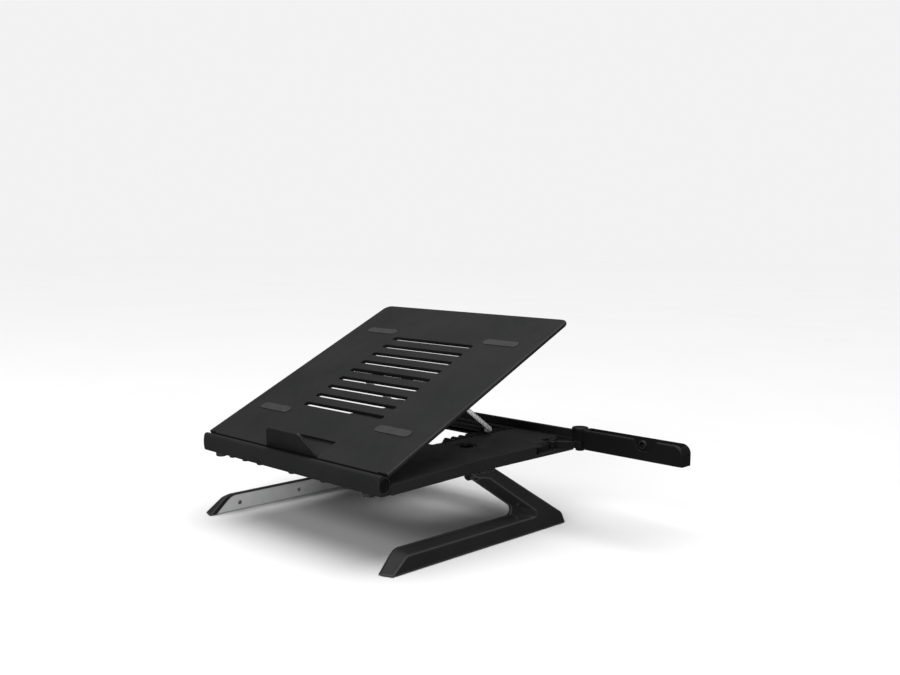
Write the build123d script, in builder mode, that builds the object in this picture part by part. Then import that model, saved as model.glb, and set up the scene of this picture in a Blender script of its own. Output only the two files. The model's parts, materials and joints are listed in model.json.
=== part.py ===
from build123d import *
import math
import os

# A folding riser for a laptop: a shallow base tray on two fold-in legs, a top plate that tilts in the
# tray's front bar and is propped by a wire bail, and a swing-out tray that holds a phone.
# Millimetres. X to the right, Y to the back, Z up. The origin is on the desk below the middle of the
# front bar's axis.

# ---- driving dimensions ----------------------------------------------------------------------------
WIDTH = 270.0            # base and plate, side to side
HALF = WIDTH / 2
DEPTH = 269.0            # front bar's axis to the back of the base
AXIS_Z = 78.2            # height of the front bar's axis, which is the plate's hinge
NOSE_FRONT = -5.8        # front bar: its flat-bellied front, underside and top
NOSE_LOW = 69.1
NOSE_TOP = 87.3
NOSE_END = 132.5         # its ends, a little inside the side walls
NOSE_BORE = 4.4          # cavity in the front bar for the plate's barrel
SIDE_START = 7.5         # front end of the side walls
UNDER_Z = 72.0           # lower edge of the side walls
DECK_FRONT = (10.0, 78.6)     # deck's upper surface, (Y, Z), behind the front bar
DECK_KNEE = (120.0, 83.4)
DECK_REAR = (264.5, 84.0)
DECK_T = 2.4
WALL = 2.6
REAR_TOP = 92.4          # top of the rear wall
END_WALL = 122.8         # inner face of the front bar's end walls
END_DISC_R = 7.9         # end walls where the plate's corners pass over them
TILT = 25.5              # plate's angle in the working pose

SKIN_FRONT = 5.8         # plate, measured along its slope from the hinge axis
SKIN_CORNER = 7.2
SKIN_REAR = 283.0
SKIN_LOW = 4.2           # plate's skin, measured square to the slope from the hinge axis
SKIN_TOP = 8.2
FRAME_LOW = 1.2
BARREL_R = 4.0
BARREL_HALF = 122.3

PIN_R = 2.0              # front hinge pins
PIN_LENGTH = 30.3
CAP_R = 6.0              # end caps over the pins, a little behind the axis
CAP_Y = 1.3
RUN = 0.05               # radial clearance of a running fit

BAIL_S = 152.0           # bail's pivot on the plate
BAIL_N = 1.8
BAIL_LENGTH = 101.0
BAIL_SLOPE = 35.06       # bail's angle below the horizontal in the working pose
BAIL_HALF = 62.0
WIRE_R = 2.3

HINGE_X = 122.7          # leg hinge axis, which runs front to back
HINGE_Z = 66.3
SPLAY = 6.185            # how far the legs lean outward
LEG_IN = -1.95           # leg's inner and outer faces, measured outward from the hinge axis
LEG_OUT = 11.85
LEG_LAND = 3.0
FLOOR_V = -68.0          # height of the desk on the leg's outer face, measured from the hinge axis
LEG_SOLE = 0.8
LEG_PIN_R = 2.0

LINK_PIVOT = (125.0, 240.0)
TRAY_PIVOT = (146.0, 260.0)
ARM_PIN_R = 3.0
LINK_LOW = 76.5
LINK_TOP = 83.6
KNUCKLE_LOW = 84.45
KNUCKLE_TOP = 95.2
TRAY_START = 154.9
TRAY_END = 269.5
TRAY_LOW = 77.0
TRAY_TOP = 97.0
TRAY_HALF_DEPTH = 8.5
TRAY_FLOOR = 80.2

TAB_S = 7.2              # stopper tab's hinge on the plate
TAB_N = 6.9
TAB_T = 2.2
TAB_TOP = 30.6           # top of the upright tab, from the hinge axis of the plate
TAB_SIDES = (-35.0, 40.0)     # tab's foot, from left to right
DISH = (83.0, 156.6)     # round holes in the deck, beside the tooth rack

tilt_cos = math.cos(math.radians(TILT))
tilt_sin = math.sin(math.radians(TILT))
PLATE = Plane(origin=(0, 0, AXIS_Z), x_dir=(1, 0, 0), z_dir=(0, -tilt_sin, tilt_cos))
TAB_SPAN = TAB_SIDES[1] - TAB_SIDES[0]
splay_cos = math.cos(math.radians(SPLAY))
splay_sin = math.sin(math.radians(SPLAY))


def side_plane(x):
    """An upright plane across X whose sketch axes are Y and Z."""
    return Plane(origin=(x, 0, 0), x_dir=(0, 1, 0), z_dir=(1, 0, 0))


def plate_section(x):
    """An upright plane across X whose sketch axes run up the plate's slope and square to it."""
    return Plane(origin=(x, 0, AXIS_Z), x_dir=(0, tilt_cos, tilt_sin), z_dir=(1, 0, 0))


def leg_plane(out):
    """A plane along the right leg, a distance outward of its hinge; sketch axes are Y and up the leg."""
    origin = (HINGE_X + out * splay_cos, 0, HINGE_Z + out * splay_sin)
    return Plane(origin=origin, x_dir=(0, 1, 0), z_dir=(splay_cos, 0, splay_sin))


def polygon(points):
    """A face in the current sketch, from its corner points."""
    Polygon(*points, align=None)


def save(piece, label):
    piece.label = label
    export_step(piece, "parts/" + label + ".step")


def save_pair(piece, name):
    """Write a right-hand piece and its mirror image."""
    save(piece, "right_" + name)
    with BuildPart() as left:
        mirror(piece, about=Plane.YZ)
    save(left.part, "left_" + name)


os.makedirs("parts", exist_ok=True)

# ---- base shell: front bar, deck, side walls and rear wall -----------------------------------------
COVER_SCREWS = [(sx * x, y) for sx in (-1, 1) for x, y in ((72, 34), (72, 234), (108, 74), (100, 206))]
RACK_SCREWS = [(sx * 61.5, y) for sx in (-1, 1) for y in (150, 246)]
POCKET = (116.5, 231.0, 262.0)     # arm pocket: inner side, front end, rear end
RECESS_IN = 126.5                  # ribbed recess in the side wall, in front of the arm pocket
RECESS_LOW = 75.0
RECESS_START = 203.0               # below the deck's edge from here, and open at the top from RECESS_FRONT
RECESS_FRONT = 213.0
BUMPERS = [(x, 3.6, 66.9) for x in (-92, -70, -46, 4, 50.5, 80)] + [(x, 5.6, 65.4) for x in (-112, 112)]
BUMPER_Y = 2.0

with BuildPart() as base_shell:
    with BuildSketch(side_plane(-HALF)):
        polygon([
            (0, NOSE_LOW), (112, UNDER_Z), (DEPTH, UNDER_Z), (DEPTH, REAR_TOP),
            (DECK_REAR[0], REAR_TOP), DECK_REAR, DECK_KNEE, DECK_FRONT, (0, DECK_FRONT[1]),
        ])
    extrude(amount=WIDTH)
    fillet(base_shell.edges().filter_by(Axis.Z).group_by(Axis.Y)[-1], 7)
    rim = [
        edge for edge in base_shell.edges()
        if abs(abs(edge.center().X) - HALF) < 0.01 and edge.center().Z > AXIS_Z and edge.length > 60
    ]
    fillet(rim, 1.2)
    for x in (-HALF, NOSE_END):
        with Locations((x, -10, 60)):
            Box(
                HALF - NOSE_END, 10 + SIDE_START, 40,
                align=(Align.MIN, Align.MIN, Align.MIN), mode=Mode.SUBTRACT,
            )
    with BuildSketch(side_plane(-NOSE_END)) as nose:
        with BuildLine():
            Polyline((-4.6, NOSE_LOW), (2, NOSE_LOW), (2, NOSE_TOP), (-4.6, NOSE_TOP))
            ThreePointArc((-4.6, NOSE_TOP), (NOSE_FRONT, AXIS_Z), (-4.6, NOSE_LOW))
        make_face()
        fillet(nose.vertices().group_by(Axis.X)[0], 3)
    extrude(amount=2 * NOSE_END)
    # hollow underside
    with BuildSketch(side_plane(-HALF + WALL)):
        polygon([
            (11.5, 60), (11.5, DECK_FRONT[1] - DECK_T), (DECK_KNEE[0], DECK_KNEE[1] - DECK_T),
            (262, DECK_REAR[1] - DECK_T), (262, 60),
        ])
    extrude(amount=WIDTH - 2 * WALL, mode=Mode.SUBTRACT)
    # cavity for the plate's barrel, open at the top and back
    with BuildSketch(side_plane(-END_WALL)):
        with Locations((0, AXIS_Z)):
            Circle(NOSE_BORE)
    extrude(amount=2 * END_WALL, mode=Mode.SUBTRACT)
    with BuildSketch(side_plane(-HALF)):
        polygon([(-0.8, AXIS_Z), (DECK_FRONT[0], AXIS_Z), (DECK_FRONT[0], 95), (-0.8, 95)])
    extrude(amount=WIDTH, mode=Mode.SUBTRACT)
    for x in (-NOSE_END, END_WALL):
        with BuildSketch(side_plane(x)):
            with Locations((0, AXIS_Z)):
                Circle(END_DISC_R)
            with Locations((-1, AXIS_Z)):
                Rectangle(20, 20, align=(Align.MIN, Align.CENTER), mode=Mode.INTERSECT)
        extrude(amount=NOSE_END - END_WALL)
    # recess for the end caps and bores for the hinge pins
    for x in (-NOSE_END, NOSE_END - 3.0):
        with BuildSketch(side_plane(x)):
            with Locations((CAP_Y, AXIS_Z)):
                Circle(CAP_R + RUN)
        extrude(amount=3.0, mode=Mode.SUBTRACT)
    with BuildSketch(side_plane(-HALF)):
        with Locations((0, AXIS_Z)):
            Circle(PIN_R + RUN)
    extrude(amount=WIDTH, mode=Mode.SUBTRACT)
    # screw bosses between the deck and the lower cover
    with BuildSketch(Plane.XY.offset(74.3)):
        with Locations(*COVER_SCREWS):
            Circle(3.6)
    extrude(until=Until.NEXT)
    # block that carries the phone arm, with its pocket
    with Locations((124.5, 237.5, 78.0)):
        Box(21, 53, 12)
    with Locations((POCKET[0], POCKET[1], LINK_LOW - 0.3)):
        Box(40, POCKET[2] - POCKET[1], 30, align=(Align.MIN, Align.MIN, Align.MIN), mode=Mode.SUBTRACT)
    for start, height in ((RECESS_START, 7.2), (RECESS_FRONT, 30)):
        with Locations((RECESS_IN, start, RECESS_LOW)):
            Box(
                20, POCKET[1] + 0.2 - start, height,
                align=(Align.MIN, Align.MIN, Align.MIN), mode=Mode.SUBTRACT,
            )
    with BuildSketch(side_plane(RECESS_IN - 0.2)):
        with Locations(*[(RECESS_FRONT + 1.7 + 2.9 * i, 78.9) for i in range(6)]):
            Rectangle(1.3, 8.0)
    extrude(amount=2.7)
    with Locations((LINK_PIVOT[0], LINK_PIVOT[1], 77)):
        Cylinder(ARM_PIN_R, 20, mode=Mode.SUBTRACT)
    # opening for the tooth rack, dished round holes beside it, and shallow grooves along the side edges
    with BuildSketch(Plane.XY.offset(70)):
        with Locations((0, 197)):
            Rectangle(2 * 58.3, 122.6)
        with Locations((-DISH[0], DISH[1]), DISH):
            Circle(7.6)
        with Locations(*RACK_SCREWS):
            Circle(1.35)
    extrude(amount=30, mode=Mode.SUBTRACT)
    with BuildSketch(Plane.XY.offset(82.9)):
        with Locations((-130.4, 134), (130.4, 134)):
            SlotOverall(54, 1.3, rotation=90)
        with Locations((-DISH[0], DISH[1]), DISH):
            Circle(11.5)
    extrude(amount=3, mode=Mode.SUBTRACT)
    # pilot holes in the bosses and sockets for the rubber bumpers
    with BuildSketch(Plane.XY.offset(74)):
        with Locations(*COVER_SCREWS):
            Circle(1.35)
    extrude(amount=5.6, mode=Mode.SUBTRACT)
    for x, radius, _ in BUMPERS:
        with Locations((x, BUMPER_Y, 68.4)):
            Cylinder(radius, 4.0, mode=Mode.SUBTRACT)
save(base_shell.part, "base_shell")

with BuildPart() as base_bumpers:
    for x, radius, low in BUMPERS:
        with BuildSketch(Plane.XY.offset(low)):
            with Locations((x, BUMPER_Y)):
                Circle(radius - RUN)
        extrude(amount=70.3 - low)
    fillet(base_bumpers.edges().filter_by(GeomType.CIRCLE).filter_by(lambda e: e.center().Z < 68), 1.6)
save(base_bumpers.part, "base_bumpers")

# ---- front hinge: two stub pins under round end caps ------------------------------------------------
with BuildPart() as front_hinge_pins:
    for x in (-99.0 - PIN_LENGTH, 99.0):
        with BuildSketch(side_plane(x)):
            with Locations((0, AXIS_Z)):
                Circle(PIN_R)
        extrude(amount=PIN_LENGTH)
save(front_hinge_pins.part, "front_hinge_pins")

with BuildPart() as front_end_caps:
    for x in (-NOSE_END + 0.5, NOSE_END - 2.9):
        with BuildSketch(side_plane(x)):
            with Locations((CAP_Y, AXIS_Z)):
                Circle(CAP_R)
        extrude(amount=2.4)
    fillet(front_end_caps.edges().filter_by(lambda e: abs(e.center().X) > NOSE_END - 1), 0.8)
    for x in (-NOSE_END, NOSE_END - 1.3):
        with BuildSketch(side_plane(x)):
            with Locations((CAP_Y, AXIS_Z)):
                Circle(3.6)
        extrude(amount=1.3, mode=Mode.SUBTRACT)
save(front_end_caps.part, "front_end_caps")

# ---- lower cover with the leg hinge lugs ------------------------------------------------------------
COVER_LOW = 72.2
COVER_TOP = 74.2
WINDOW = (82.0, 194.0, 104.0)      # opening through rack and cover: width, middle, length along Y
LEG_BARRELS = [(116.0, 5.5), (127.5, 5.5), (139.0, 5.5)]     # start and length along Y
LEG_LUGS = [(121.9, 5.2), (133.4, 5.2)]

with BuildPart() as base_cover:
    with BuildSketch(Plane.XY.offset(COVER_LOW)):
        with Locations((0, 137)):
            RectangleRounded(264.4, 249.4, 3)
        with Locations((0, WINDOW[1])):
            Rectangle(WINDOW[0], WINDOW[2], mode=Mode.SUBTRACT)
        with Locations((124.5, 238)):
            Rectangle(22, 55, mode=Mode.SUBTRACT)
    extrude(amount=COVER_TOP - COVER_LOW)
    for start, length in LEG_LUGS:
        for side in (-1, 1):
            with BuildSketch(Plane(origin=(0, start + length, 0), x_dir=(1, 0, 0), z_dir=(0, -1, 0))):
                with Locations((side * HINGE_X, HINGE_Z)):
                    Circle(3.8)
                with Locations((side * HINGE_X, (HINGE_Z + COVER_LOW) / 2 + 0.25)):
                    Rectangle(7.6, COVER_LOW - HINGE_Z + 0.5)
            extrude(amount=length)
    for side in (-1, 1):
        with BuildSketch(Plane(origin=(0, 150, 0), x_dir=(1, 0, 0), z_dir=(0, -1, 0))):
            with Locations((side * HINGE_X, HINGE_Z)):
                Circle(LEG_PIN_R + RUN)
        extrude(amount=50, mode=Mode.SUBTRACT)
    # stiffening ribs on the underside, inboard of the folded legs
    with BuildSketch(Plane.XY.offset(COVER_LOW - 1.2)):
        with Locations(*[(x, 137) for x in (-47, 47)]):
            Rectangle(2.2, 200)
        with Locations((0, 60), (0, 100), (0, 130)):
            Rectangle(91.8, 2.2)
    extrude(amount=1.3)
    with Locations(*[Location((x, y, COVER_LOW)) for x, y in COVER_SCREWS]):
        Cylinder(1.45, 10, mode=Mode.SUBTRACT)
        Cylinder(2.9, 2.2, mode=Mode.SUBTRACT)
save(base_cover.part, "base_cover")

with BuildPart() as base_cover_screws:
    for x, y in COVER_SCREWS:
        with BuildSketch(Plane.XY.offset(COVER_LOW + 0.05)):
            with Locations((x, y)):
                Circle(2.7)
        extrude(amount=1.0)
        with BuildSketch(Plane.XY.offset(COVER_LOW + 0.6)):
            with Locations((x, y)):
                Circle(1.3)
        extrude(amount=6.4)
    for x, y in COVER_SCREWS:
        with Locations((x, y, COVER_LOW)):
            Box(3.2, 0.7, 1.0, mode=Mode.SUBTRACT)
            Box(0.7, 3.2, 1.0, mode=Mode.SUBTRACT)
save(base_cover_screws.part, "base_cover_screws")

# ---- tooth rack that the bail's foot bar rests on ---------------------------------------------------
RACK_MIDDLE = 197.0      # middle of the rack along Y
RACK_LOW = 77.2
RACK_TOP = 79.0          # upper face of the two toothed strips
TOOTH_TIP = 83.6
PITCH = 10.8
TEETH = [256.0 - PITCH * i for i in range(9)]     # tooth tips, from the back

with BuildPart() as tilt_rack:
    # flange below the deck, a well let into the deck's opening, and the window through its floor
    with BuildSketch(Plane.XY.offset(79.6)):
        with Locations((0, RACK_MIDDLE)):
            RectangleRounded(132, 114, 3)
            Rectangle(112, 108, mode=Mode.SUBTRACT)
    extrude(amount=1.4)
    with BuildSketch(Plane.XY.offset(RACK_LOW)):
        with Locations((0, RACK_MIDDLE)):
            RectangleRounded(116, 122, 2)
    extrude(amount=82.8 - RACK_LOW)
    with BuildSketch(Plane.XY.offset(RACK_TOP)):
        with Locations((0, RACK_MIDDLE)):
            Rectangle(112, 118)
    extrude(amount=10, mode=Mode.SUBTRACT)
    with BuildSketch(Plane.XY.offset(RACK_LOW)):
        with Locations((0, WINDOW[1])):
            RectangleRounded(WINDOW[0], WINDOW[2], 3)
    extrude(amount=10, mode=Mode.SUBTRACT)
    with Locations(*[Location((x, y, 80)) for x, y in RACK_SCREWS]):
        Cylinder(1.35, 8, mode=Mode.SUBTRACT)
save(tilt_rack.part, "tilt_rack")

# two toothed strips, glued to the rack's floor on either side of the window
with BuildPart() as rack_teeth:
    outline = [(TEETH[0] - 0.1, RACK_TOP), (TEETH[0] - 0.1, TOOTH_TIP)]
    for y in TEETH:
        outline += [(y - 1.8, TOOTH_TIP), (y - 5.6, RACK_TOP + 0.3), (y + 0.9 - PITCH, RACK_TOP + 0.3)]
        outline += [(y + 1.0 - PITCH, TOOTH_TIP)]
    outline[-1] = (TEETH[-1] + 0.9 - PITCH, RACK_TOP)
    for x in (-56, 42):
        with BuildSketch(side_plane(x)):
            polygon(outline)
        extrude(amount=14)
save(rack_teeth.part, "rack_teeth")

with BuildPart() as rack_screws:
    for x, y in RACK_SCREWS:
        with BuildSketch(Plane.XY.offset(78.4)):
            with Locations((x, y)):
                Circle(2.6)
        extrude(amount=1.2)
        with BuildSketch(Plane.XY.offset(79.0)):
            with Locations((x, y)):
                Circle(1.3)
        extrude(amount=4.0)
save(rack_screws.part, "rack_screws")

# ---- top plate: skin with the hinge barrel ----------------------------------------------------------
PADS = [(x, s) for x in (-88, 88) for s in (62, 226)]
FRAME_SCREWS = [(x, s) for x in (-122, 122) for s in (42, 108, 174, 238)]

with BuildPart() as plate_skin:
    with BuildSketch(PLATE.offset(SKIN_LOW)):
        with Locations((0, (SKIN_FRONT + SKIN_REAR) / 2)):
            Rectangle(WIDTH, SKIN_REAR - SKIN_FRONT)
    extrude(amount=SKIN_TOP - SKIN_LOW)
    corners = plate_skin.edges().filter_by(lambda e: abs(e.length - SKIN_TOP + SKIN_LOW) < 0.01)
    fillet(corners.group_by(Axis.Y)[-1], 9)
    rim = plate_skin.faces().sort_by(lambda f: f.area)[-2:].edges()
    fillet(rim.filter_by(lambda e: e.center().Y > 6), 1.7)
    # corners stop short of the base's end discs
    with BuildSketch(PLATE.offset(SKIN_LOW - 1)):
        for x in (-129, 129):
            with Locations((x, SKIN_FRONT)):
                Rectangle(13.4, 2 * (SKIN_CORNER - SKIN_FRONT))
    extrude(amount=8, mode=Mode.SUBTRACT)
    # hinge barrel and the web that joins it to the skin
    with BuildSketch(plate_section(-BARREL_HALF)):
        Circle(BARREL_R)
    extrude(amount=2 * BARREL_HALF)
    with BuildSketch(plate_section(-BARREL_HALF)):
        polygon([(2.0, 0.9), (14.0, 1.2), (14.0, 5.0), (6.2, 5.2), (2.8, 4.0)])
    extrude(amount=2 * BARREL_HALF)
    for x in (-BARREL_HALF - 1, 98.0):
        with BuildSketch(plate_section(x)):
            Circle(PIN_R + RUN)
        extrude(amount=25.3, mode=Mode.SUBTRACT)
    # ventilation slots, pad recesses, recess for the folded stopper tab
    with BuildSketch(PLATE.offset(SKIN_LOW - 1)):
        with Locations((0, 146)):
            with GridLocations(0, 17, 1, 9):
                SlotOverall(118, 6.5)
    extrude(amount=8, mode=Mode.SUBTRACT)
    with BuildSketch(PLATE.offset(SKIN_TOP - 0.7)):
        with Locations(*PADS):
            SlotOverall(46, 10.2)
    extrude(amount=3, mode=Mode.SUBTRACT)
    with BuildSketch(PLATE.offset(5.2)):
        with Locations((TAB_SIDES[0] - 0.5, 5.4)):
            Rectangle(TAB_SPAN + 1.0, TAB_TOP - TAB_N + 2.6, align=(Align.MIN, Align.MIN))
    extrude(amount=6, mode=Mode.SUBTRACT)
    with BuildSketch(plate_section(TAB_SIDES[0] - 8)):
        with Locations((TAB_S, TAB_N)):
            Circle(0.72)
    extrude(amount=TAB_SPAN + 16, mode=Mode.SUBTRACT)
    # pilot holes for the frame's screws
    with BuildSketch(PLATE.offset(SKIN_LOW - 1)):
        with Locations(*FRAME_SCREWS):
            Circle(1.35)
    extrude(amount=3.6, mode=Mode.SUBTRACT)
save(plate_skin.part, "plate_skin")

with BuildPart() as plate_grip_pads:
    with BuildSketch(PLATE.offset(SKIN_TOP - 0.7)):
        with Locations(*PADS):
            SlotOverall(45.8, 10)
    extrude(amount=1.4)
    fillet(plate_grip_pads.faces().filter_by(GeomType.PLANE).sort_by(Axis.Z)[-2:].edges(), 0.5)
save(plate_grip_pads.part, "plate_grip_pads")

# ---- plate frame, which nests in the base when the stand is folded ----------------------------------
with BuildPart() as plate_frame:
    with BuildSketch(PLATE.offset(FRAME_LOW)):
        with Locations((0, 139)):
            RectangleRounded(256, 246, 5)
        with Locations((0, 142.25)):
            RectangleRounded(232, 228.5, 4, mode=Mode.SUBTRACT)
        with Locations((-78, 142), (78, 142)):
            Rectangle(5, 232)
        with Locations((-97, 90), (97, 90), (-97, 200), (97, 200)):
            Rectangle(40, 4)
    extrude(amount=SKIN_LOW - FRAME_LOW)
    for radius, depth in ((1.4, 3.2), (2.8, 1.3)):
        with BuildSketch(PLATE.offset(FRAME_LOW - 0.1)):
            with Locations(*FRAME_SCREWS):
                Circle(radius)
        extrude(amount=depth, mode=Mode.SUBTRACT)
save(plate_frame.part, "plate_frame")

with BuildPart() as plate_frame_screws:
    for low, radius, length in ((FRAME_LOW + 0.1, 2.6, 1.0), (FRAME_LOW + 0.9, 1.3, 4.3)):
        with BuildSketch(PLATE.offset(low)):
            with Locations(*FRAME_SCREWS):
                Circle(radius)
        extrude(amount=length)
    with BuildSketch(PLATE.offset(FRAME_LOW)):
        with Locations(*FRAME_SCREWS):
            Rectangle(3.0, 0.7)
            Rectangle(0.7, 3.0)
    extrude(amount=0.6, mode=Mode.SUBTRACT)
save(plate_frame_screws.part, "plate_frame_screws")

# ---- bail: a closed loop of wire in two snap clips under the plate, with a sleeve on its foot bar ----
with BuildPart() as bail_clips:
    for x in (-30, 14):
        with BuildSketch(plate_section(x)):
            with Locations((BAIL_S, 1.5)):
                RectangleRounded(10, 5.3, 1.0)
            with Locations((BAIL_S, BAIL_N)):
                Circle(WIRE_R + RUN, mode=Mode.SUBTRACT)
            with Locations((BAIL_S, -0.5)):
                Rectangle(3.0, 2.2, mode=Mode.SUBTRACT)
        extrude(amount=16)
save(bail_clips.part, "bail_clips")

slope_cos = math.cos(math.radians(BAIL_SLOPE))
slope_sin = math.sin(math.radians(BAIL_SLOPE))
BAIL = Plane(
    origin=PLATE.from_local_coords((0, BAIL_S, BAIL_N)), x_dir=(1, 0, 0), z_dir=(0, slope_sin, slope_cos)
)
with BuildPart() as bail:
    with BuildLine(BAIL) as loop:
        Line((6 - BAIL_HALF, 0), (BAIL_HALF - 6, 0))
        RadiusArc((BAIL_HALF - 6, 0), (BAIL_HALF, 6), -6)
        Line((BAIL_HALF, 6), (BAIL_HALF, BAIL_LENGTH - 6))
        RadiusArc((BAIL_HALF, BAIL_LENGTH - 6), (BAIL_HALF - 6, BAIL_LENGTH), -6)
        Line((BAIL_HALF - 6, BAIL_LENGTH), (6 - BAIL_HALF, BAIL_LENGTH))
        RadiusArc((6 - BAIL_HALF, BAIL_LENGTH), (-BAIL_HALF, BAIL_LENGTH - 6), -6)
        Line((-BAIL_HALF, BAIL_LENGTH - 6), (-BAIL_HALF, 6))
        RadiusArc((-BAIL_HALF, 6), (6 - BAIL_HALF, 0), -6)
    with BuildSketch(Plane(origin=loop.line @ 0, z_dir=loop.line % 0)):
        Circle(WIRE_R)
    sweep()
save(bail.part, "bail")

with BuildPart() as bail_sleeve:
    with BuildSketch(Plane(origin=BAIL.from_local_coords((-54, BAIL_LENGTH, 0)), z_dir=(1, 0, 0))):
        Circle(2.8)
        Circle(WIRE_R + RUN, mode=Mode.SUBTRACT)
    extrude(amount=108)
save(bail_sleeve.part, "bail_sleeve")

# ---- stopper tab at the plate's front edge ----------------------------------------------------------
TAB_BACK = Plane(
    origin=PLATE.from_local_coords((0, TAB_S + TAB_T / 2, 0)),
    x_dir=(1, 0, 0), z_dir=(0, -tilt_cos, -tilt_sin),
)
TAB_LOW = TAB_N - 1.2
PAD_BOX = (-1.0, 20.5, 32.0, 12.0)     # centre and size of the pad on the tab's back

with BuildPart() as stopper_tab:
    with BuildSketch(TAB_BACK):
        polygon([
            (TAB_SIDES[0], TAB_LOW), (TAB_SIDES[1], TAB_LOW), (TAB_SIDES[1], 9.4), (25.0, TAB_TOP),
            (-23.0, TAB_TOP), (TAB_SIDES[0], 9.4),
        ])
    extrude(amount=TAB_T)
    fillet(stopper_tab.edges().filter_by(lambda e: abs(e.length - TAB_T) < 0.01).group_by(Axis.Z)[-1], 6)
    fillet(stopper_tab.edges().filter_by(Axis.X).group_by(Axis.Z)[0:2], 1.05)
    with BuildSketch(plate_section(TAB_SIDES[0] - 1)):
        with Locations((TAB_S, TAB_N)):
            Circle(0.75)
    extrude(amount=TAB_SPAN + 2, mode=Mode.SUBTRACT)
    with BuildSketch(TAB_BACK):
        with Locations(PAD_BOX[:2]):
            RectangleRounded(PAD_BOX[2], PAD_BOX[3], 2)
    extrude(amount=0.5, mode=Mode.SUBTRACT)
save(stopper_tab.part, "stopper_tab")

with BuildPart() as stopper_pad:
    with BuildSketch(TAB_BACK.offset(-0.3)):
        with Locations(PAD_BOX[:2]):
            RectangleRounded(PAD_BOX[2] - 0.1, PAD_BOX[3] - 0.1, 2)
    extrude(amount=0.8)
save(stopper_pad.part, "stopper_pad")

with BuildPart() as stopper_pin:
    with BuildSketch(plate_section(TAB_SIDES[0] - 7.6)):
        with Locations((TAB_S, TAB_N)):
            Circle(0.7)
    extrude(amount=TAB_SPAN + 15.2)
save(stopper_pin.part, "stopper_pin")

# ---- right leg, and the left one as its mirror image ------------------------------------------------
# corners: along Y, height above the desk, rounding radius
LEG_INNER = [
    (-6.0, -2.0, 0), (17.6, 20.9, 14), (186.6, 20.9, 5.6), (121.0, 64.5, 0), (115.0, 68.5, 0),
    (109.3, 72.2, 0), (141.2, 72.2, 0), (238.6, 12.1, 9), (244.5, -2.0, 0),
]
LEG_RIDGE = [
    (-1.7, -2.0, 0), (21.3, 14.9, 10), (208.1, 14.9, 3.5), (134.0, 63.5, 0), (114.5, 67.3, 0),
    (109.3, 72.2, 0), (141.2, 72.2, 0), (238.6, 12.1, 9), (244.5, -2.0, 0),
]
LEG_PANEL = [(-1.0, -2.0, 0), (22.6, 20.9, 17), *LEG_INNER[2:]]
LEG_BOSSES = [(34.0, 10.0), (112.0, 10.0), (196.0, 12.5), (158.0, 50.5)]
PANEL_TOP = 60.0


def leg_outline(sketch, corners):
    """A leg's outline in the current sketch, with its corners rounded."""
    Polygon(*[(y, h + FLOOR_V) for y, h, radius in corners], align=None)
    for y, h, radius in corners:
        if radius:
            fillet(sketch.vertices().sort_by_distance((y, h + FLOOR_V))[0], radius)


def panel_outline(sketch, inset):
    """The inner panel's outline shrunk by an inset and cut off below the hinge."""
    leg_outline(sketch, LEG_PANEL)
    offset(amount=-inset, kind=Kind.INTERSECTION, mode=Mode.REPLACE)
    with Locations((130, PANEL_TOP - inset + FLOOR_V)):
        Rectangle(120, 60, align=(Align.CENTER, Align.MIN), mode=Mode.SUBTRACT)


def sole_cut():
    """Trim the current part flat, just above the desk."""
    with Locations((135, 120, LEG_SOLE)):
        Box(60, 320, 30, align=(Align.CENTER, Align.CENTER, Align.MAX), mode=Mode.SUBTRACT)


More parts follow.
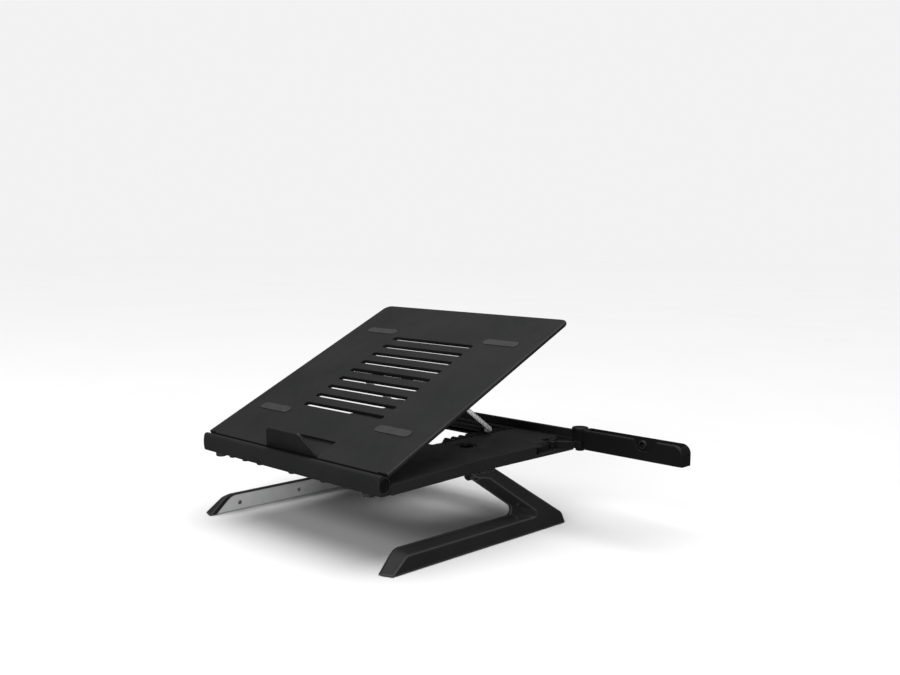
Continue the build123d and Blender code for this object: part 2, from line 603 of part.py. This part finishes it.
with BuildPart() as right_leg:
    with BuildSketch(leg_plane(LEG_IN)) as land:
        leg_outline(land, LEG_INNER)
    extrude(amount=LEG_LAND)
    with BuildSketch(leg_plane(LEG_IN + LEG_LAND)) as lower_flank:
        leg_outline(lower_flank, LEG_INNER)
    with BuildSketch(leg_plane(LEG_OUT)) as upper_flank:
        leg_outline(upper_flank, LEG_RIDGE)
    loft(ruled=True)
    # knuckles round the hinge pin, and room for the base's lugs between them
    for start, length in LEG_BARRELS:
        with BuildSketch(Plane(origin=(0, start + length, 0), x_dir=(1, 0, 0), z_dir=(0, -1, 0))):
            with Locations((HINGE_X, HINGE_Z)):
                Circle(4.4)
        extrude(amount=length)
    for start, length in LEG_LUGS:
        with BuildSketch(leg_plane(-12)):
            with Locations((start - 0.3, -4.5)):
                Rectangle(length + 0.6, 20, align=(Align.MIN, Align.MIN))
        extrude(amount=16.5, mode=Mode.SUBTRACT)
    with BuildSketch(Plane(origin=(0, 150, 0), x_dir=(1, 0, 0), z_dir=(0, -1, 0))):
        with Locations((HINGE_X, HINGE_Z)):
            Circle(LEG_PIN_R + 0.02)
    extrude(amount=50, mode=Mode.SUBTRACT)
    for rear_end in (116, 147.3):
        with BuildSketch(Plane(origin=(0, rear_end, 0), x_dir=(1, 0, 0), z_dir=(0, -1, 0))):
            with Locations((HINGE_X, HINGE_Z)):
                Circle(3.5)
        extrude(amount=2.8, mode=Mode.SUBTRACT)
    # hollow closed by the inner panel, with bosses for its screws
    with BuildSketch(leg_plane(LEG_IN)) as recess:
        panel_outline(recess, 1.7)
    extrude(amount=1.6, mode=Mode.SUBTRACT)
    with BuildSketch(leg_plane(LEG_IN + 1.5)) as hollow:
        panel_outline(hollow, 5.5)
        with Locations((188, 21 + FLOOR_V)):
            Circle(13, mode=Mode.SUBTRACT)
    extrude(amount=7.0, mode=Mode.SUBTRACT)
    with BuildSketch(leg_plane(LEG_IN + 1.6)):
        with Locations(*[(y, h + FLOOR_V) for y, h in LEG_BOSSES]):
            Circle(3.4)
    extrude(amount=7.2)
    with BuildSketch(leg_plane(LEG_IN + 1.5)):
        with Locations(*[(y, h + FLOOR_V) for y, h in LEG_BOSSES]):
            Circle(1.05)
    extrude(amount=6.0, mode=Mode.SUBTRACT)
    # notches along the top edge of the flank
    with BuildSketch(leg_plane(LEG_OUT - 2.2)):
        with Locations(*[(113.5 + 6.2 * i, 4.2) for i in range(5)]):
            Rectangle(2.4, 3.2)
    extrude(amount=3, mode=Mode.SUBTRACT)
    sole_cut()
    with Locations((134.8, 48, LEG_SOLE), (134.8, 204, LEG_SOLE)):
        Box(8.6, 40.2, 2.0, mode=Mode.SUBTRACT)
save_pair(right_leg.part, "leg")

with BuildPart() as right_leg_panel:
    with BuildSketch(leg_plane(LEG_IN + 0.05)) as panel:
        panel_outline(panel, 1.8)
    extrude(amount=1.5)
    with BuildSketch(leg_plane(LEG_IN)):
        with Locations(*[(y, h + FLOOR_V) for y, h in LEG_BOSSES]):
            Circle(1.1)
    extrude(amount=2, mode=Mode.SUBTRACT)
    with BuildSketch(leg_plane(LEG_IN)):
        with Locations(*[(y, h + FLOOR_V) for y, h in LEG_BOSSES]):
            Circle(2.3)
    extrude(amount=0.9, mode=Mode.SUBTRACT)
    sole_cut()
save_pair(right_leg_panel.part, "leg_panel")

with BuildPart() as right_leg_screws:
    for out, radius, length in ((LEG_IN + 0.05, 2.2, 0.8), (LEG_IN + 0.8, 1.0, 6.0)):
        with BuildSketch(leg_plane(out)):
            with Locations(*[(y, h + FLOOR_V) for y, h in LEG_BOSSES]):
                Circle(radius)
        extrude(amount=length)
    with BuildSketch(leg_plane(LEG_IN - 0.1)):
        with Locations(*[(y, h + FLOOR_V) for y, h in LEG_BOSSES]):
            Rectangle(2.6, 0.6)
            Rectangle(0.6, 2.6)
    extrude(amount=0.6, mode=Mode.SUBTRACT)
save_pair(right_leg_screws.part, "leg_screws")

with BuildPart() as right_leg_pin:
    for y, radius, length in ((145.6, LEG_PIN_R, 31.0), (115.6, 3.2, 1.2), (146.8, 3.2, 1.2)):
        with BuildSketch(Plane(origin=(0, y, 0), x_dir=(1, 0, 0), z_dir=(0, -1, 0))):
            with Locations((HINGE_X, HINGE_Z)):
                Circle(radius)
        extrude(amount=length)
save_pair(right_leg_pin.part, "leg_pin")

with BuildPart() as right_foot_pads:
    with Locations((134.8, 48, 0), (134.8, 204, 0)):
        Box(8.4, 40, 1.7, align=(Align.CENTER, Align.CENTER, Align.MIN))
    fillet(right_foot_pads.edges().group_by(Axis.Z)[0], 0.4)
save_pair(right_foot_pads.part, "foot_pads")

# ---- phone arm: link, pins and tray -----------------------------------------------------------------
link_run = (TRAY_PIVOT[0] - LINK_PIVOT[0], TRAY_PIVOT[1] - LINK_PIVOT[1])
LINK_LENGTH = math.hypot(*link_run)
LINK_ANGLE = math.degrees(math.atan2(link_run[1], link_run[0]))

with BuildPart() as arm_link:
    with BuildSketch(Plane.XY.offset(LINK_LOW)):
        with Locations(LINK_PIVOT):
            Circle(7)
        with Locations(TRAY_PIVOT):
            Circle(7.5)
        with Locations(Location((LINK_PIVOT[0], LINK_PIVOT[1], 0), (0, 0, LINK_ANGLE))):
            Rectangle(LINK_LENGTH, 9, align=(Align.MIN, Align.CENTER))
    extrude(amount=LINK_TOP - LINK_LOW)
    fillet(arm_link.edges().group_by(Axis.Z)[-1], 0.8)
    with BuildSketch(Plane.XY.offset(LINK_LOW - 1)):
        with Locations(LINK_PIVOT):
            Circle(ARM_PIN_R + RUN)
        with Locations(TRAY_PIVOT):
            Circle(ARM_PIN_R + 0.02)
    extrude(amount=12, mode=Mode.SUBTRACT)
save(arm_link.part, "arm_link")

with BuildPart() as link_pin:
    with BuildSketch(Plane.XY.offset(72.4)):
        with Locations(LINK_PIVOT):
            Circle(ARM_PIN_R)
    extrude(amount=12.4)
    with BuildSketch(Plane.XY.offset(84.2)):
        with Locations(LINK_PIVOT):
            Circle(6)
    extrude(amount=1.8)
    fillet(link_pin.edges().group_by(Axis.Z)[-1], 0.8)
    with Locations((LINK_PIVOT[0], LINK_PIVOT[1], 86)):
        Box(6, 1.2, 1.8, mode=Mode.SUBTRACT)
        Box(1.2, 6, 1.8, mode=Mode.SUBTRACT)
save(link_pin.part, "link_pin")

with BuildPart() as link_washer:
    with BuildSketch(Plane.XY.offset(LINK_TOP)):
        with Locations(LINK_PIVOT):
            Circle(5.6)
            Circle(ARM_PIN_R + RUN, mode=Mode.SUBTRACT)
    extrude(amount=0.55)
save(link_washer.part, "link_washer")

with BuildPart() as phone_tray:
    with BuildSketch(side_plane(TRAY_START)):
        with Locations((TRAY_PIVOT[1], (TRAY_LOW + TRAY_TOP) / 2)):
            Rectangle(2 * TRAY_HALF_DEPTH, TRAY_TOP - TRAY_LOW)
    extrude(amount=TRAY_END - TRAY_START)
    fillet(phone_tray.edges().filter_by(Axis.Y).group_by(Axis.X)[-1].group_by(Axis.Z)[-1], 9)
    fillet(phone_tray.edges().filter_by(Axis.Z), 2.5)
    # neck and knuckle on the pivot
    with BuildSketch(Plane.XY.offset(KNUCKLE_LOW)):
        with Locations(TRAY_PIVOT):
            Circle(7.9)
        with Locations(TRAY_PIVOT):
            Rectangle(14, 15.8, align=(Align.MIN, Align.CENTER))
    extrude(amount=KNUCKLE_TOP - KNUCKLE_LOW)
    with BuildSketch(Plane.XY.offset(KNUCKLE_LOW - 1)):
        with Locations(TRAY_PIVOT):
            Circle(ARM_PIN_R + RUN)
    extrude(amount=14, mode=Mode.SUBTRACT)
    # channel: upright at the front, leaning back behind the phone
    with BuildSketch(side_plane(159)):
        polygon([
            (TRAY_PIVOT[1] - 6.3, TRAY_FLOOR), (TRAY_PIVOT[1] + 2.0, TRAY_FLOOR),
            (TRAY_PIVOT[1] + 6.6, TRAY_TOP + 1), (TRAY_PIVOT[1] - 6.3, TRAY_TOP + 1),
        ])
    extrude(amount=TRAY_END - 163, mode=Mode.SUBTRACT)
    # notch in the front wall, and a hole in the back wall that a rubber plug closes
    with BuildSketch(Plane(origin=(0, TRAY_PIVOT[1] - 9, 0), x_dir=(1, 0, 0), z_dir=(0, -1, 0))) as notch:
        polygon([(213.5, 99), (222, 85.8), (234, 85.8), (242.5, 99)])
        fillet(notch.vertices().group_by(Axis.Y)[0], 4)
    extrude(amount=-4, mode=Mode.SUBTRACT)
    with BuildSketch(Plane(origin=(0, TRAY_PIVOT[1] + 9, 0), x_dir=(1, 0, 0), z_dir=(0, -1, 0))):
        with Locations((218, 89.2)):
            Circle(4.45)
    extrude(amount=8, mode=Mode.SUBTRACT)
save(phone_tray.part, "phone_tray")

with BuildPart() as tray_plug:
    with BuildSketch(Plane(origin=(0, TRAY_PIVOT[1] + 9.1, 0), x_dir=(1, 0, 0), z_dir=(0, -1, 0))):
        with Locations((218, 89.2)):
            Circle(4.4)
    extrude(amount=6.2)
    fillet(tray_plug.edges().group_by(Axis.Y)[0] + tray_plug.edges().group_by(Axis.Y)[-1], 0.4)
    with BuildSketch(Plane(origin=(0, TRAY_PIVOT[1] + 1, 0), x_dir=(1, 0, 0), z_dir=(0, -1, 0))):
        with Locations((218, 89.2)):
            Circle(3.1)
    extrude(amount=-6, mode=Mode.SUBTRACT)
save(tray_plug.part, "tray_plug")

with BuildPart() as tray_pad:
    with BuildSketch(Plane.XY.offset(TRAY_FLOOR)):
        with Locations((211, TRAY_PIVOT[1] - 2.3)):
            RectangleRounded(100, 7.2, 1)
    extrude(amount=0.9)
save(tray_pad.part, "tray_pad")

with BuildPart() as tray_pin:
    for low, radius, length in ((73.6, 4.5, 2.7), (76.3, ARM_PIN_R, 19.2), (95.4, 8.6, 2.4)):
        with BuildSketch(Plane.XY.offset(low)):
            with Locations(TRAY_PIVOT):
                Circle(radius)
        extrude(amount=length)
    fillet(tray_pin.edges().group_by(Axis.Z)[-1], 1.6)
    fillet(tray_pin.edges().group_by(Axis.Z)[0], 0.8)
save(tray_pin.part, "tray_pin")

with BuildPart() as tray_washer:
    with BuildSketch(Plane.XY.offset(LINK_TOP)):
        with Locations(TRAY_PIVOT):
            Circle(6.6)
            Circle(ARM_PIN_R + RUN, mode=Mode.SUBTRACT)
    extrude(amount=0.8)
save(tray_washer.part, "tray_washer")
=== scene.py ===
import json
import math

import bmesh
import bpy
from mathutils import Matrix, Vector

# Looks for the folding laptop riser. Metres, in the row's frame: X to the right, Y to the back, Z up.

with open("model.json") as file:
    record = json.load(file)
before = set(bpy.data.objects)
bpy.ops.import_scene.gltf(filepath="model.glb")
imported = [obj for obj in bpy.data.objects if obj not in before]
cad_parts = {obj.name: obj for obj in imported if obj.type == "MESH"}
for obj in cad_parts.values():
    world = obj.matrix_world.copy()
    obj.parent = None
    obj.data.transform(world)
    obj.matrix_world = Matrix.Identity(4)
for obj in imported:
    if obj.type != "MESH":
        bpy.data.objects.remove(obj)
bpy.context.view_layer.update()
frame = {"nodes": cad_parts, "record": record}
nodes = frame["nodes"]
record = frame["record"]

# Surface detail. Scales are noise features per metre.
CLOUD_SCALE = 14.0           # slow drift of tone over a whole piece
PATCH_SCALE = 55.0           # patches of more or less gloss
RUB_SCALE = 240.0            # broken wear along edges
DUST_SCALE = 900.0
GRAIN_SCALE = 2600.0         # spark-eroded grain of moulded plastic
PLASTIC_SPECULAR = 0.15
PLASTIC_IOR = 1.5
EDGE_START = 0.995           # cosine between true and rounded normals where an edge begins
EDGE_SAMPLES = 6
GLOSS_GAIN_AT_EDGES = 0.10   # how much smoother rubbed edges are


# ---- small helpers for node trees ------------------------------------------------------------------
class Tree:
    """Builds one material's node tree; links are made from sockets or plain values."""

    def __init__(self, name):
        self.material = bpy.data.materials.new(name)
        self.material.use_nodes = True
        self.nodes = self.material.node_tree.nodes
        self.links = self.material.node_tree.links
        self.nodes.clear()
        self.output = self.nodes.new("ShaderNodeOutputMaterial")
        self.shader = self.nodes.new("ShaderNodeBsdfPrincipled")
        self.links.new(self.shader.outputs["BSDF"], self.output.inputs["Surface"])
        self.place = self.nodes.new("ShaderNodeTexCoord").outputs["Object"]

    def put(self, socket, value):
        if isinstance(value, bpy.types.NodeSocket):
            self.links.new(value, socket)
        else:
            socket.default_value = value

    def noise(self, scale, detail=3.0, rough=0.55, stretch=None):
        node = self.nodes.new("ShaderNodeTexNoise")
        node.inputs["Scale"].default_value = scale
        node.inputs["Detail"].default_value = detail
        node.inputs["Roughness"].default_value = rough
        self.put(node.inputs["Vector"], self.stretched(stretch) if stretch else self.place)
        return node.outputs["Fac"]

    def stretched(self, factors):
        node = self.nodes.new("ShaderNodeMapping")
        node.inputs["Scale"].default_value = factors
        self.links.new(self.place, node.inputs["Vector"])
        return node.outputs["Vector"]

    def cells(self, scale):
        node = self.nodes.new("ShaderNodeTexVoronoi")
        node.inputs["Scale"].default_value = scale
        self.links.new(self.place, node.inputs["Vector"])
        return node.outputs["Distance"]

    def ramp(self, value, low, high, out_low=0.0, out_high=1.0):
        node = self.nodes.new("ShaderNodeMapRange")
        node.inputs["From Min"].default_value = low
        node.inputs["From Max"].default_value = high
        node.inputs["To Min"].default_value = out_low
        node.inputs["To Max"].default_value = out_high
        self.put(node.inputs["Value"], value)
        return node.outputs["Result"]

    def math(self, operation, a, b):
        node = self.nodes.new("ShaderNodeMath")
        node.operation = operation
        self.put(node.inputs[0], a)
        self.put(node.inputs[1], b)
        return node.outputs[0]

    def mix(self, factor, a, b):
        node = self.nodes.new("ShaderNodeMix")
        node.data_type = "RGBA"
        self.put(node.inputs["Factor"], factor)
        self.put(node.inputs["A"], a)
        self.put(node.inputs["B"], b)
        return node.outputs["Result"]

    def bump(self, height, distance, strength=1.0, normal=None):
        node = self.nodes.new("ShaderNodeBump")
        node.inputs["Strength"].default_value = strength
        node.inputs["Distance"].default_value = distance
        self.links.new(height, node.inputs["Height"])
        if normal is not None:
            self.links.new(normal, node.inputs["Normal"])
        return node.outputs["Normal"]

    def edges(self, radius, full=0.8):
        """0 on flat faces, rising to 1 at edges, where the normals' cosine falls to full."""
        bevel = self.nodes.new("ShaderNodeBevel")
        bevel.samples = EDGE_SAMPLES
        bevel.inputs["Radius"].default_value = radius
        geometry = self.nodes.new("ShaderNodeNewGeometry")
        dot = self.nodes.new("ShaderNodeVectorMath")
        dot.operation = "DOT_PRODUCT"
        self.links.new(bevel.outputs["Normal"], dot.inputs[0])
        self.links.new(geometry.outputs["Normal"], dot.inputs[1])
        return self.ramp(dot.outputs["Value"], EDGE_START, full), bevel.outputs["Normal"]


def grey(value, warmth=0.0):
    """A grey, a little redder where warmth is positive."""
    return (value * (1 + warmth), value, value * (1 - warmth), 1.0)


def moulded_plastic(name, tone, roughness, grain=0.00006, wear=0.5, radius=0.0006, painted_edge_highlight=1.0, full=0.8):
    """Injection-moulded plastic: grained skin, uneven gloss, rubbed edges, a painted highlight along all
    edges, faint dust.
    """
    tree = Tree(name)
    edge, soft_normal = tree.edges(radius, full=full)
    cloud = tree.noise(CLOUD_SCALE, 4.0)
    patch = tree.noise(PATCH_SCALE, 3.0, stretch=(1.0, 0.6, 1.0))
    rub = tree.ramp(tree.noise(RUB_SCALE, 4.0, 0.65), 0.40, 0.68)
    worn = tree.math("MULTIPLY", tree.math("MULTIPLY", edge, rub), wear)
    base = tree.mix(tree.ramp(cloud, 0.35, 0.68), grey(tone * 0.88, -0.02), grey(tone * 1.14, 0.0))
    speck = tree.ramp(tree.cells(DUST_SCALE), 0.02, 0.10, 1.0, 0.0)
    dusty = tree.math("MULTIPLY", speck, tree.ramp(patch, 0.52, 0.70, 0.0, 0.25))
    base = tree.mix(dusty, base, grey(tone * 3.0 + 0.03, 0.02))
    # painted highlight: every edge is lightened towards a multiple of the tone, standing in for light caught
    # by rounded edges
    base = tree.mix(edge, base, grey(tone * painted_edge_highlight))
    tree.put(tree.shader.inputs["Base Color"], tree.mix(worn, base, grey(tone * 2.6 + 0.015)))
    gloss = tree.ramp(patch, 0.3, 0.72, roughness - 0.05, roughness + 0.06)
    gloss = tree.math("SUBTRACT", gloss, tree.math("MULTIPLY", edge, GLOSS_GAIN_AT_EDGES))
    tree.put(tree.shader.inputs["Roughness"], gloss)
    tree.shader.inputs["IOR"].default_value = PLASTIC_IOR
    tree.shader.inputs["Specular IOR Level"].default_value = PLASTIC_SPECULAR
    pits = tree.noise(GRAIN_SCALE, 2.0, 0.6)
    tree.put(tree.shader.inputs["Normal"], tree.bump(pits, grain, 0.55, soft_normal))
    return tree.material


def gloss_cap(name, tone):
    """Smooth black plastic with faint smears and a painted highlight along its edges."""
    tree = Tree(name)
    edge, soft_normal = tree.edges(0.0005)
    smear = tree.noise(120.0, 4.0)
    # painted highlight: edges lightened towards tone * 2.2
    tree.put(tree.shader.inputs["Base Color"], tree.mix(edge, grey(tone), grey(tone * 2.2 + 0.01)))
    tree.put(tree.shader.inputs["Roughness"], tree.ramp(smear, 0.35, 0.7, 0.34, 0.46))
    tree.shader.inputs["Specular IOR Level"].default_value = PLASTIC_SPECULAR
    tree.put(tree.shader.inputs["Normal"], tree.bump(tree.noise(1400.0), 0.00002, 0.4, soft_normal))
    return tree.material


def drawn_wire(name, tone):
    """Bright drawn steel wire: fine lengthwise scratches and a little tarnish."""
    tree = Tree(name)
    streak = tree.noise(900.0, 3.0, stretch=(1.0, 0.08, 0.08))
    stain = tree.ramp(tree.noise(60.0, 4.0), 0.45, 0.75)
    tree.put(tree.shader.inputs["Base Color"], tree.mix(stain, grey(tone, -0.004), grey(tone * 0.72, 0.02)))
    tree.shader.inputs["Metallic"].default_value = 0.25
    tree.put(tree.shader.inputs["Roughness"], tree.ramp(streak, 0.3, 0.7, 0.22, 0.40))
    tree.put(tree.shader.inputs["Normal"], tree.bump(streak, 0.00003, 0.5))
    return tree.material


def zinc_steel(name, tone, roughness):
    """Plated screw or ground pin: cloudy plating with small scratches."""
    tree = Tree(name)
    edge, soft_normal = tree.edges(0.0002)
    cloud = tree.noise(700.0, 4.0)
    plating = tree.mix(tree.ramp(cloud, 0.35, 0.7), grey(tone * 0.8), grey(tone * 1.1))
    tree.put(tree.shader.inputs["Base Color"], plating)
    tree.shader.inputs["Metallic"].default_value = 1.0
    tree.put(tree.shader.inputs["Roughness"], tree.ramp(cloud, 0.3, 0.7, roughness + 0.08, roughness - 0.06))
    tree.put(tree.shader.inputs["Normal"], tree.bump(tree.noise(3000.0), 0.00002, 0.5, soft_normal))
    return tree.material


def nylon(name, tone):
    """Dull translucent-looking washer."""
    tree = Tree(name)
    cloud = tree.noise(500.0, 3.0)
    tree.put(tree.shader.inputs["Base Color"], tree.mix(cloud, grey(tone * 0.85), grey(tone * 1.15, 0.02)))
    tree.put(tree.shader.inputs["Roughness"], tree.ramp(cloud, 0.3, 0.7, 0.42, 0.55))
    tree.put(tree.shader.inputs["Normal"], tree.bump(cloud, 0.00003, 0.4))
    return tree.material


def soft_rubber(name, tone):
    """Matt rubber with a powdery bloom, a fine pebbled skin and a painted highlight along its edges."""
    tree = Tree(name)
    edge, soft_normal = tree.edges(0.0005)
    bloom = tree.ramp(tree.noise(90.0, 4.0), 0.42, 0.72)
    skin = tree.mix(bloom, grey(tone), grey(tone * 1.9 + 0.004, 0.01))
    # painted highlight: edges lightened halfway towards tone * 2.5
    skin = tree.mix(tree.math("MULTIPLY", edge, 0.5), skin, grey(tone * 2.5))
    tree.put(tree.shader.inputs["Base Color"], skin)
    tree.put(tree.shader.inputs["Roughness"], tree.ramp(bloom, 0.0, 1.0, 0.62, 0.85))
    pebble = tree.cells(1700.0)
    tree.put(tree.shader.inputs["Normal"], tree.bump(pebble, 0.00006, 0.5, soft_normal))
    return tree.material


# Material slots of the record: name, tone (linear), roughness, and what differs from the usual.
finishes = {
    "black_shell": moulded_plastic("black shell plastic", 0.0155, 0.42, radius=0.0009, painted_edge_highlight=1.5),
    "black_rack": moulded_plastic("black rack plastic", 0.010, 0.36, grain=0.00003),
    "black_plate": moulded_plastic("black plate plastic", 0.015, 0.44, radius=0.001, painted_edge_highlight=2.2),
    "black_frame": moulded_plastic("black frame plastic", 0.010, 0.5, wear=0.3),
    # the legs carry the strongest painted highlight along their ridges, the plate the next strongest along
    # its side edge
    "black_leg": moulded_plastic(
        "black leg plastic", 0.0155, 0.40, wear=0.5, radius=0.0024, painted_edge_highlight=4.5, full=0.95,
    ),
    "grey_panel": moulded_plastic("grey panel plastic", 0.54, 0.5, wear=0.1),
    "black_arm": moulded_plastic("black arm plastic", 0.0062, 0.38),
    "black_cap": gloss_cap("black cap plastic", 0.005),
    "bright_wire": drawn_wire("bright bail wire", 0.92),
    "screw_steel": zinc_steel("black zinc screw steel", 0.10, 0.38),
    "pin_steel": zinc_steel("ground pin steel", 0.50, 0.26),
    "washer_nylon": nylon("washer nylon", 0.10),
    "soft_rubber": soft_rubber("soft rubber", 0.012),
}
for part in record["subparts"]:
    materials = nodes[part["node"]].data.materials
    materials.clear()
    materials.append(finishes[part["material_slot"]])


# ---- floor, light and camera -----------------------------------------------------------------------
DOME_RADIUS = 15.0
FLOOR_RADIUS = 14.0
FLOOR_SIDES = 64
BACKDROP_GLOW = 0.89
SKY_LIGHT = 3.3
SKY_SPREAD = math.radians(70)
WORLD_LIGHT = 0.10
SPOT_BLEND = 0.7
SPOT_RADIUS = 0.03
HIDDEN_RAYS = ("diffuse", "glossy", "transmission", "volume_scatter", "shadow")


def stage_floor():
    """A pale round floor that runs out to the dome and doesn't show in the part's gloss."""
    mesh = bpy.data.meshes.new("floor")
    turns = [2 * math.pi * i / FLOOR_SIDES for i in range(FLOOR_SIDES)]
    rim = [(FLOOR_RADIUS * math.cos(turn), FLOOR_RADIUS * math.sin(turn), 0) for turn in turns]
    mesh.from_pydata(rim, [], [tuple(range(FLOOR_SIDES))])
    floor = bpy.data.objects.new("floor", mesh)
    bpy.context.scene.collection.objects.link(floor)
    tree = Tree("pale floor")
    tree.put(tree.shader.inputs["Base Color"], tree.mix(tree.noise(3.0), grey(0.80), grey(0.84)))
    tree.shader.inputs["Roughness"].default_value = 0.75
    mesh.materials.append(tree.material)
    floor.visible_glossy = False


def stage_dome():
    """A white dome behind everything, which neither lights the part nor shows in its gloss."""
    mesh = bpy.data.meshes.new("dome")
    shape = bmesh.new()
    bmesh.ops.create_uvsphere(shape, u_segments=48, v_segments=24, radius=DOME_RADIUS)
    shape.to_mesh(mesh)
    shape.free()
    dome = bpy.data.objects.new("dome", mesh)
    bpy.context.scene.collection.objects.link(dome)
    material = bpy.data.materials.new("white backdrop")
    material.use_nodes = True
    tree = material.node_tree
    tree.nodes.clear()
    glow = tree.nodes.new("ShaderNodeEmission")
    glow.inputs["Strength"].default_value = BACKDROP_GLOW
    output = tree.nodes.new("ShaderNodeOutputMaterial")
    tree.links.new(glow.outputs["Emission"], output.inputs["Surface"])
    mesh.materials.append(material)
    for ray in HIDDEN_RAYS:
        setattr(dome, "visible_" + ray, False)


def add_light(name, data, place, target):
    """Put a light in the scene, pointing from its place at its target."""
    light = bpy.data.objects.new(name, data)
    light.location = place
    light.rotation_euler = (Vector(target) - Vector(place)).to_track_quat("-Z", "Y").to_euler()
    bpy.context.scene.collection.objects.link(light)


def area_light(name, place, target, size, power):
    """A soft rectangular light."""
    data = bpy.data.lights.new(name, "AREA")
    data.shape = "RECTANGLE"
    data.size, data.size_y = size
    data.energy = power
    add_light(name, data, place, target)


def spot_light(name, place, target, cone, power):
    """A narrow light on one place."""
    data = bpy.data.lights.new(name, "SPOT")
    data.spot_size = cone
    data.spot_blend = SPOT_BLEND
    data.shadow_soft_size = SPOT_RADIUS
    data.energy = power
    add_light(name, data, place, target)


def sky_light(strength, spread):
    """A wide soft light straight overhead, the same all over the floor."""
    data = bpy.data.lights.new("overhead", "SUN")
    data.energy = strength
    data.angle = spread
    bpy.context.scene.collection.objects.link(bpy.data.objects.new("overhead", data))


stage_floor()
stage_dome()
sky_light(SKY_LIGHT, SKY_SPREAD)
area_light("front", place=(0.6, -1.9, 1.3), target=(0.0, 0.0, 0.08), size=(1.4, 0.9), power=26.0)
area_light("side", place=(1.5, -0.7, 0.30), target=(-0.2, 0.05, 0.02), size=(0.6, 0.25), power=2.2)
# the first spot reaches the left leg's inner panel between the legs, the second picks out the bail
spot_light(
    "low", place=(0.46, -0.47, 0.02), target=(-0.125, 0.045, 0.022), cone=math.radians(11), power=4.0,
)
spot_light(
    "wire", place=(0.55, -0.10, 0.20), target=(0.062, 0.185, 0.112), cone=math.radians(6), power=8.0,
)

world = bpy.data.worlds.new("studio")
world.use_nodes = True
world.node_tree.nodes["Background"].inputs["Color"].default_value = (1.0, 1.0, 1.0, 1.0)
world.node_tree.nodes["Background"].inputs["Strength"].default_value = WORLD_LIGHT
bpy.context.scene.world = world

# Camera angles: turned from looking along +Y, tipped down, and rolled.
CAMERA_PLACE = Vector((0.7449, -0.5654, 0.2869))
YAW, PITCH, ROLL = (math.radians(a) for a in (43.53, 5.59, 0.68))
LENS = 40.1
SENSOR_WIDTH = 36.0

forward = Vector((-math.sin(YAW) * math.cos(PITCH), math.cos(YAW) * math.cos(PITCH), -math.sin(PITCH)))
level = Vector((math.cos(YAW), math.sin(YAW), 0.0))
upward = level.cross(forward)
right = math.cos(ROLL) * level + math.sin(ROLL) * upward
up = math.cos(ROLL) * upward - math.sin(ROLL) * level
camera_data = bpy.data.cameras.new("camera")
camera_data.lens = LENS
camera_data.sensor_width = SENSOR_WIDTH
camera = bpy.data.objects.new("camera", camera_data)
camera.matrix_world = Matrix.Translation(CAMERA_PLACE) @ Matrix((right, up, -forward)).transposed().to_4x4()
bpy.context.scene.collection.objects.link(camera)
bpy.context.scene.camera = camera
bpy.context.scene.view_settings.view_transform = "Standard"
